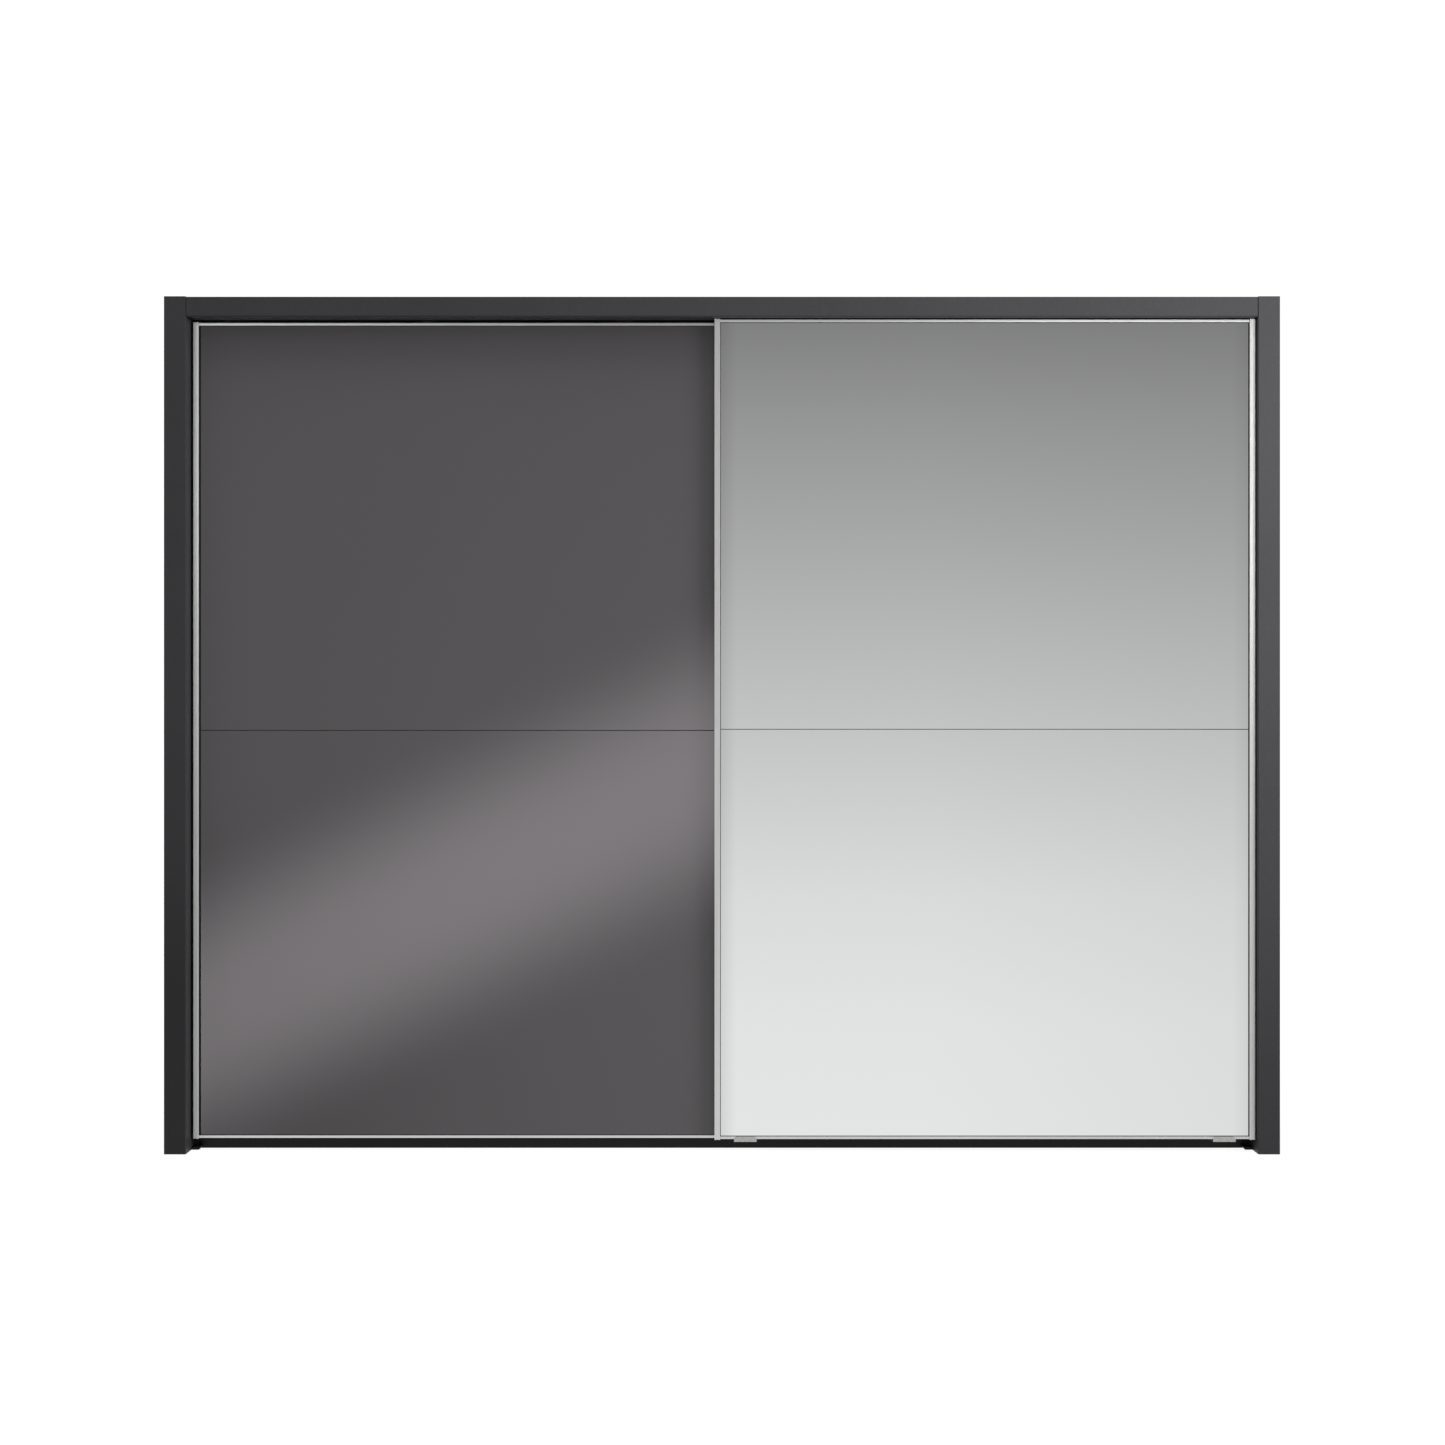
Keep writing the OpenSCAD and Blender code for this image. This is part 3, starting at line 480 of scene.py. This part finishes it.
def add_world():
    """White to the camera, a fill light that grows upwards, and reflections that darken upwards."""
    world = bpy.data.worlds.new("studio")
    world.use_nodes = True
    world.node_tree.nodes.clear()
    scene.world = world
    studio = Nodes(world.node_tree)
    height = studio.along("Generated", "Z")

    wall = studio.node("ShaderNodeValToRGB")
    stops = wall.color_ramp.elements
    while len(stops) < len(MIRRORED_WALL):
        stops.new(0.5)
    for stop, (position, level) in zip(stops, MIRRORED_WALL):
        stop.position = position
        stop.color = (level, level, level, 1)
    studio.link(studio.spread(height, -MIRRORED_SPAN, MIRRORED_SPAN), wall.inputs[0])
    reflected = studio.node("ShaderNodeBackground")
    studio.link(wall.outputs["Color"], reflected.inputs["Color"])

    fill = studio.node("ShaderNodeBackground")
    fill.inputs["Color"].default_value = FILL_COLOUR
    strength = studio.spread(height, -FILL_SPAN, FILL_SPAN, FILL_BELOW, FILL_ABOVE)
    studio.link(strength, fill.inputs["Strength"])

    white = studio.node("ShaderNodeBackground")
    white.inputs["Color"].default_value = (1, 1, 1, 1)
    white.inputs["Strength"].default_value = BACKGROUND_STRENGTH

    rays = studio.node("ShaderNodeLightPath")
    lit = studio.mix_shaders(rays.outputs["Is Glossy Ray"], fill.outputs[0], reflected.outputs[0])
    seen = studio.mix_shaders(rays.outputs["Is Camera Ray"], lit, white.outputs[0])
    studio.link(seen, studio.node("ShaderNodeOutputWorld").inputs["Surface"])


def add_floor():
    """A pale floor that takes soft shadows and melts into the white background."""
    mesh = bpy.data.meshes.new("floor")
    build = bmesh.new()
    bmesh.ops.create_circle(build, cap_ends=True, segments=96, radius=FLOOR_R)
    build.to_mesh(mesh)
    build.free()
    floor = bpy.data.objects.new("floor", mesh)
    scene.collection.objects.link(floor)
    floor.location.z = -FLOOR_DROP

    look = Material("pale_floor")
    far = look.node("ShaderNodeVectorMath", operation="LENGTH")
    look.link(look.place(), far.inputs[0])
    look.set(Base_Color=(0.26, 0.26, 0.26, 1), Roughness=0.9, Specular_IOR_Level=0.1)
    look.set(Emission_Color=(1, 1, 1, 1), Emission_Strength=FLOOR_GLOW)
    clear = look.node("ShaderNodeBsdfTransparent")
    fade = look.spread(far.outputs["Value"], *FLOOR_FADE)
    look.surface(look.mix_shaders(fade, look.shader.outputs[0], clear.outputs[0]))
    mesh.materials.append(look.material)
    floor.visible_glossy = False
    floor.visible_diffuse = False


def add_area_light(name, place, target, size, power, colour=(1, 1, 1), glossy=True):
    data = bpy.data.lights.new(name, "AREA")
    data.shape = "RECTANGLE"
    data.size, data.size_y = size
    data.energy = power
    data.color = colour
    light = bpy.data.objects.new(name, data)
    light.location = place
    light.rotation_euler = (Vector(target) - Vector(place)).to_track_quat("-Z", "Y").to_euler()
    light.visible_glossy = glossy
    scene.collection.objects.link(light)
    return light


def light_only(light, names):
    """Keeps a light, or a card that glows, to the named pieces."""
    receivers = bpy.data.collections.new(light.name + "_receivers")
    for name in names:
        receivers.objects.link(nodes[name])
    light.light_linking.receiver_collection = receivers


def add_lights():
    """A key for the frame's boards, a side light for the rest, two for the aluminium, one from above."""
    front_middle = (0.3, cad_low.y, 1.1)
    key = add_area_light("key", place=(2.0, -2.0, 2.05), target=front_middle, size=(0.9, 0.9),
                         power=60, colour=(1.0, 0.98, 0.97), glossy=False)
    light_only(key, FRAME_BOARDS)
    side = add_area_light("side_soft", place=(2.6, -2.4, 1.6), target=front_middle, size=(1.6, 1.6),
                          power=27, colour=(1.0, 0.98, 0.99), glossy=False)
    light_only(side, [name for name in nodes if not name.startswith("frame_")])
    aluminium = [name for name in nodes if name.endswith(ALUMINIUM_PARTS)]
    for name, x, power in (("left_profile_soft", -2.2, 11), ("right_profile_soft", 1.8, 19)):
        soft = add_area_light(name, place=(x, -3.8, 2.1), target=(x / 2, cad_low.y, 1.4),
                              size=(1.6, 1.6), power=power)
        light_only(soft, aluminium)
    add_area_light("top_fill", place=(0, -0.6, 4.6), target=(0, 0, 1.0), size=(4.0, 2.5), power=60)


def add_card(name, corners, material):
    """A flat card that the camera doesn't see."""
    mesh = bpy.data.meshes.new(name)
    mesh.from_pydata(corners, [], [(0, 1, 2, 3)])
    mesh.materials.append(material)
    card = bpy.data.objects.new(name, mesh)
    scene.collection.objects.link(card)
    card.visible_camera = False
    return card


def streak_light(across, half_w):
    """A glow that fades from the card's middle line to its long edges, and lets all other light pass."""
    look = Material("streak_light")
    look.tree.nodes.remove(look.shader)
    distance = look.node("ShaderNodeVectorMath", operation="DOT_PRODUCT")
    distance.inputs[1].default_value = across / half_w
    look.link(look.place(), distance.inputs[0])
    off_middle = look.maths("ABSOLUTE", distance.outputs["Value"])
    profile = look.spread(off_middle, 0, 1, 1, 0, shape="SMOOTHERSTEP")
    glow = look.node("ShaderNodeEmission")
    glow.inputs["Color"].default_value = STREAK_COLOUR
    look.link(look.maths("MULTIPLY", profile, STREAK_STRENGTH), glow.inputs["Strength"])
    both = look.node("ShaderNodeAddShader")
    look.link(look.node("ShaderNodeBsdfTransparent").outputs[0], both.inputs[0])
    look.link(glow.outputs[0], both.inputs[1])
    look.surface(both.outputs[0])
    return look.material


def add_streak_card():
    """A long soft light that only the grey glass reflects, as a diagonal streak across the left door."""
    glass_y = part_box("left_door_lower_pane")[0].y
    card_y = CAMERA_Y - STREAK_BEHIND_CAMERA
    reach = 1 + (glass_y - card_y) / (glass_y - CAMERA_Y)   # size of the card to that of its reflection
    half_w = STREAK_HALF_W * reach
    along = Vector((math.cos(STREAK_SLOPE), 0, math.sin(STREAK_SLOPE)))
    across = Vector((-math.sin(STREAK_SLOPE), 0, math.cos(STREAK_SLOPE)))
    corners = [along * STREAK_HALF_L * reach * a + across * half_w * b
               for a, b in ((-1, -1), (-1, 1), (1, 1), (1, -1))]
    card = add_card("streak_card", corners, streak_light(across, half_w))
    card.location = (STREAK_X * reach, card_y, CAMERA_Z - STREAK_BELOW_CAMERA * reach)
    card.visible_diffuse = False
    card.visible_shadow = False
    light_only(card, ("left_door_upper_pane", "left_door_lower_pane"))


def add_low_flags():
    """Black cards that keep light off the foot of each side board, and that nothing reflects."""
    look = Material("black_cloth")
    look.colour(look.mix(look.noise(300), (0.002, 0.002, 0.002), (0.006, 0.006, 0.006)))
    look.set(Roughness=0.95, Specular_IOR_Level=0.0)
    card_y = cad_low.y - FLAG_AHEAD
    for name, middle_x, top_z in (("left_flag", cad_low.x, LEFT_FLAG_TOP_Z),
                                  ("right_flag", cad_high.x, RIGHT_FLAG_TOP_Z)):
        left_x, right_x = middle_x - FLAG_HALF_W, middle_x + FLAG_HALF_W
        corners = [(left_x, card_y, FLAG_FOOT_Z), (right_x, card_y, FLAG_FOOT_Z),
                   (right_x, card_y, top_z), (left_x, card_y, top_z)]
        flag = add_card(name, corners, look.material)
        flag.visible_glossy = False


# ---- the whole scene ----

add_camera()
add_world()
add_floor()
add_lights()
add_streak_card()
add_low_flags()
carcass_melamine = melamine("carcass_melamine", CARCASS_GRAPHITE, raw_rear=True)
zinc_steel = zinc_plated("zinc_plated", BRIGHT_ZINC)
dress_body(carcass_melamine, zinc_steel)
dress_doors(carcass_melamine, zinc_steel)
scene.view_settings.view_transform = "Standard"
scene.view_settings.look = "None"
